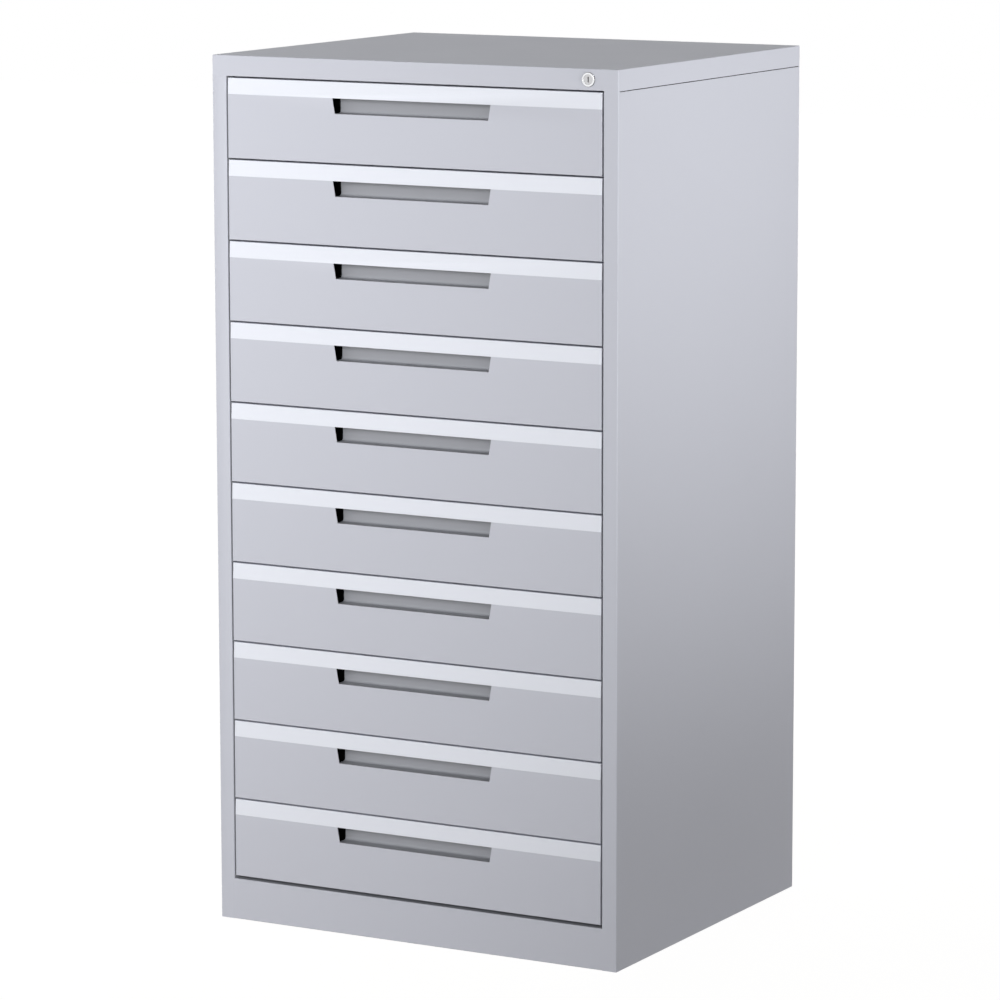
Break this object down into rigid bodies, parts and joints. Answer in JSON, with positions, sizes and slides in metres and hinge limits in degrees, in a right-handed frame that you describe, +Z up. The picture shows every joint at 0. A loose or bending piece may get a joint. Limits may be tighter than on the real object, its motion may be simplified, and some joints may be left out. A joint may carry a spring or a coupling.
{
  "type": "multi-drawer cabinet",
  "caption": "Tall steel cabinet with a column of shallow full-width drawers on telescopic runners, finger pulls, a plinth and a cam lock that bars all drawers.",
  "frame": {"origin": "on the floor, in the middle of the cabinet's width and depth", "axes": "+X to the right of someone facing the drawers, +Y from the drawer fronts to the back, +Z up"},
  "size_m": [0.684, 0.5972, 1.32],
  "materials": {
    "shell_paint": "satin powder coat",
    "front_paint": "satin powder coat, with a near-white top strip",
    "pull_paint": "satin powder coat",
    "tray_paint": "satin powder coat",
    "zinc_sheet": "galvanised",
    "runner_steel": "bright zinc plate",
    "bar_steel": "bright zinc plate",
    "lock_chrome": "polished",
    "buffer_rubber": "matt"
  },
  "bodies": {
    "carcass": {"top_cover": "shell_paint", "side_panel_left": "shell_paint", "side_panel_right": "shell_paint", "plinth": "shell_paint", "base_pan": "zinc_sheet", "back_panel": "shell_paint", "post_front_left": "zinc_sheet", "post_front_right": "zinc_sheet", "post_rear_left": "zinc_sheet", "post_rear_right": "zinc_sheet", "runners_left": "runner_steel", "runners_right": "runner_steel", "runner_stops": "buffer_rubber", "lock_housing": "lock_chrome", "lock_nut": "zinc_sheet", "lock_bar_guides": "zinc_sheet"},
    "drawer_01": {"drawer_front_01": "front_paint", "drawer_pull_01": "pull_paint", "drawer_tray_01": "tray_paint"},
    "cradle_01": {"drawer_cradle_01": "runner_steel"},
    "drawer_02": {"drawer_front_02": "front_paint", "drawer_pull_02": "pull_paint", "drawer_tray_02": "tray_paint"},
    "cradle_02": {"drawer_cradle_02": "runner_steel"},
    "drawer_03": {"drawer_front_03": "front_paint", "drawer_pull_03": "pull_paint", "drawer_tray_03": "tray_paint"},
    "cradle_03": {"drawer_cradle_03": "runner_steel"},
    "drawer_04": {"drawer_front_04": "front_paint", "drawer_pull_04": "pull_paint", "drawer_tray_04": "tray_paint"},
    "cradle_04": {"drawer_cradle_04": "runner_steel"},
    "drawer_05": {"drawer_front_05": "front_paint", "drawer_pull_05": "pull_paint", "drawer_tray_05": "tray_paint"},
    "cradle_05": {"drawer_cradle_05": "runner_steel"},
    "drawer_06": {"drawer_front_06": "front_paint", "drawer_pull_06": "pull_paint", "drawer_tray_06": "tray_paint"},
    "cradle_06": {"drawer_cradle_06": "runner_steel"},
    "drawer_07": {"drawer_front_07": "front_paint", "drawer_pull_07": "pull_paint", "drawer_tray_07": "tray_paint"},
    "cradle_07": {"drawer_cradle_07": "runner_steel"},
    "drawer_08": {"drawer_front_08": "front_paint", "drawer_pull_08": "pull_paint", "drawer_tray_08": "tray_paint"},
    "cradle_08": {"drawer_cradle_08": "runner_steel"},
    "drawer_09": {"drawer_front_09": "front_paint", "drawer_pull_09": "pull_paint", "drawer_tray_09": "tray_paint"},
    "cradle_09": {"drawer_cradle_09": "runner_steel"},
    "drawer_10": {"drawer_front_10": "front_paint", "drawer_pull_10": "pull_paint", "drawer_tray_10": "tray_paint"},
    "cradle_10": {"drawer_cradle_10": "runner_steel"},
    "lock_plug": {"lock_plug": "lock_chrome", "lock_cam": "bar_steel"},
    "lock_bar": {"lock_bar": "bar_steel", "lock_tabs": "bar_steel"}
  },
  "joints": [
    {"name": "drawer_01_slide", "type": "slide", "parent": "carcass", "child": "drawer_01", "axis": [0, -1, 0], "range_m": [0, 0.5]},
    {"name": "cradle_01_slide", "type": "slide", "parent": "carcass", "child": "cradle_01", "axis": [0, -1, 0], "range_m": [0, 0.25]},
    {"name": "drawer_02_slide", "type": "slide", "parent": "carcass", "child": "drawer_02", "axis": [0, -1, 0], "range_m": [0, 0.5]},
    {"name": "cradle_02_slide", "type": "slide", "parent": "carcass", "child": "cradle_02", "axis": [0, -1, 0], "range_m": [0, 0.25]},
    {"name": "drawer_03_slide", "type": "slide", "parent": "carcass", "child": "drawer_03", "axis": [0, -1, 0], "range_m": [0, 0.5]},
    {"name": "cradle_03_slide", "type": "slide", "parent": "carcass", "child": "cradle_03", "axis": [0, -1, 0], "range_m": [0, 0.25]},
    {"name": "drawer_04_slide", "type": "slide", "parent": "carcass", "child": "drawer_04", "axis": [0, -1, 0], "range_m": [0, 0.5]},
    {"name": "cradle_04_slide", "type": "slide", "parent": "carcass", "child": "cradle_04", "axis": [0, -1, 0], "range_m": [0, 0.25]},
    {"name": "drawer_05_slide", "type": "slide", "parent": "carcass", "child": "drawer_05", "axis": [0, -1, 0], "range_m": [0, 0.5]},
    {"name": "cradle_05_slide", "type": "slide", "parent": "carcass", "child": "cradle_05", "axis": [0, -1, 0], "range_m": [0, 0.25]},
    {"name": "drawer_06_slide", "type": "slide", "parent": "carcass", "child": "drawer_06", "axis": [0, -1, 0], "range_m": [0, 0.5]},
    {"name": "cradle_06_slide", "type": "slide", "parent": "carcass", "child": "cradle_06", "axis": [0, -1, 0], "range_m": [0, 0.25]},
    {"name": "drawer_07_slide", "type": "slide", "parent": "carcass", "child": "drawer_07", "axis": [0, -1, 0], "range_m": [0, 0.5]},
    {"name": "cradle_07_slide", "type": "slide", "parent": "carcass", "child": "cradle_07", "axis": [0, -1, 0], "range_m": [0, 0.25]},
    {"name": "drawer_08_slide", "type": "slide", "parent": "carcass", "child": "drawer_08", "axis": [0, -1, 0], "range_m": [0, 0.5]},
    {"name": "cradle_08_slide", "type": "slide", "parent": "carcass", "child": "cradle_08", "axis": [0, -1, 0], "range_m": [0, 0.25]},
    {"name": "drawer_09_slide", "type": "slide", "parent": "carcass", "child": "drawer_09", "axis": [0, -1, 0], "range_m": [0, 0.5]},
    {"name": "cradle_09_slide", "type": "slide", "parent": "carcass", "child": "cradle_09", "axis": [0, -1, 0], "range_m": [0, 0.25]},
    {"name": "drawer_10_slide", "type": "slide", "parent": "carcass", "child": "drawer_10", "axis": [0, -1, 0], "range_m": [0, 0.5]},
    {"name": "cradle_10_slide", "type": "slide", "parent": "carcass", "child": "cradle_10", "axis": [0, -1, 0], "range_m": [0, 0.25]},
    {"name": "lock_turn", "type": "hinge", "parent": "carcass", "child": "lock_plug", "pos_m": [0.294, -0.2964, 1.3045], "axis": [0, -1, 0], "range_deg": [0, 90]},
    {"name": "lock_bar_slide", "type": "slide", "parent": "carcass", "child": "lock_bar", "axis": [0, 0, 1], "range_m": [0, 0.0099]}
  ],
  "couplings": [
    {"joint": "cradle_01_slide", "follows": "drawer_01_slide", "ratio": 0.5},
    {"joint": "cradle_02_slide", "follows": "drawer_02_slide", "ratio": 0.5},
    {"joint": "cradle_03_slide", "follows": "drawer_03_slide", "ratio": 0.5},
    {"joint": "cradle_04_slide", "follows": "drawer_04_slide", "ratio": 0.5},
    {"joint": "cradle_05_slide", "follows": "drawer_05_slide", "ratio": 0.5},
    {"joint": "cradle_06_slide", "follows": "drawer_06_slide", "ratio": 0.5},
    {"joint": "cradle_07_slide", "follows": "drawer_07_slide", "ratio": 0.5},
    {"joint": "cradle_08_slide", "follows": "drawer_08_slide", "ratio": 0.5},
    {"joint": "cradle_09_slide", "follows": "drawer_09_slide", "ratio": 0.5},
    {"joint": "cradle_10_slide", "follows": "drawer_10_slide", "ratio": 0.5},
    {"joint": "lock_bar_slide", "follows": "lock_turn", "m_per_rad": 0.0063}
  ]
}
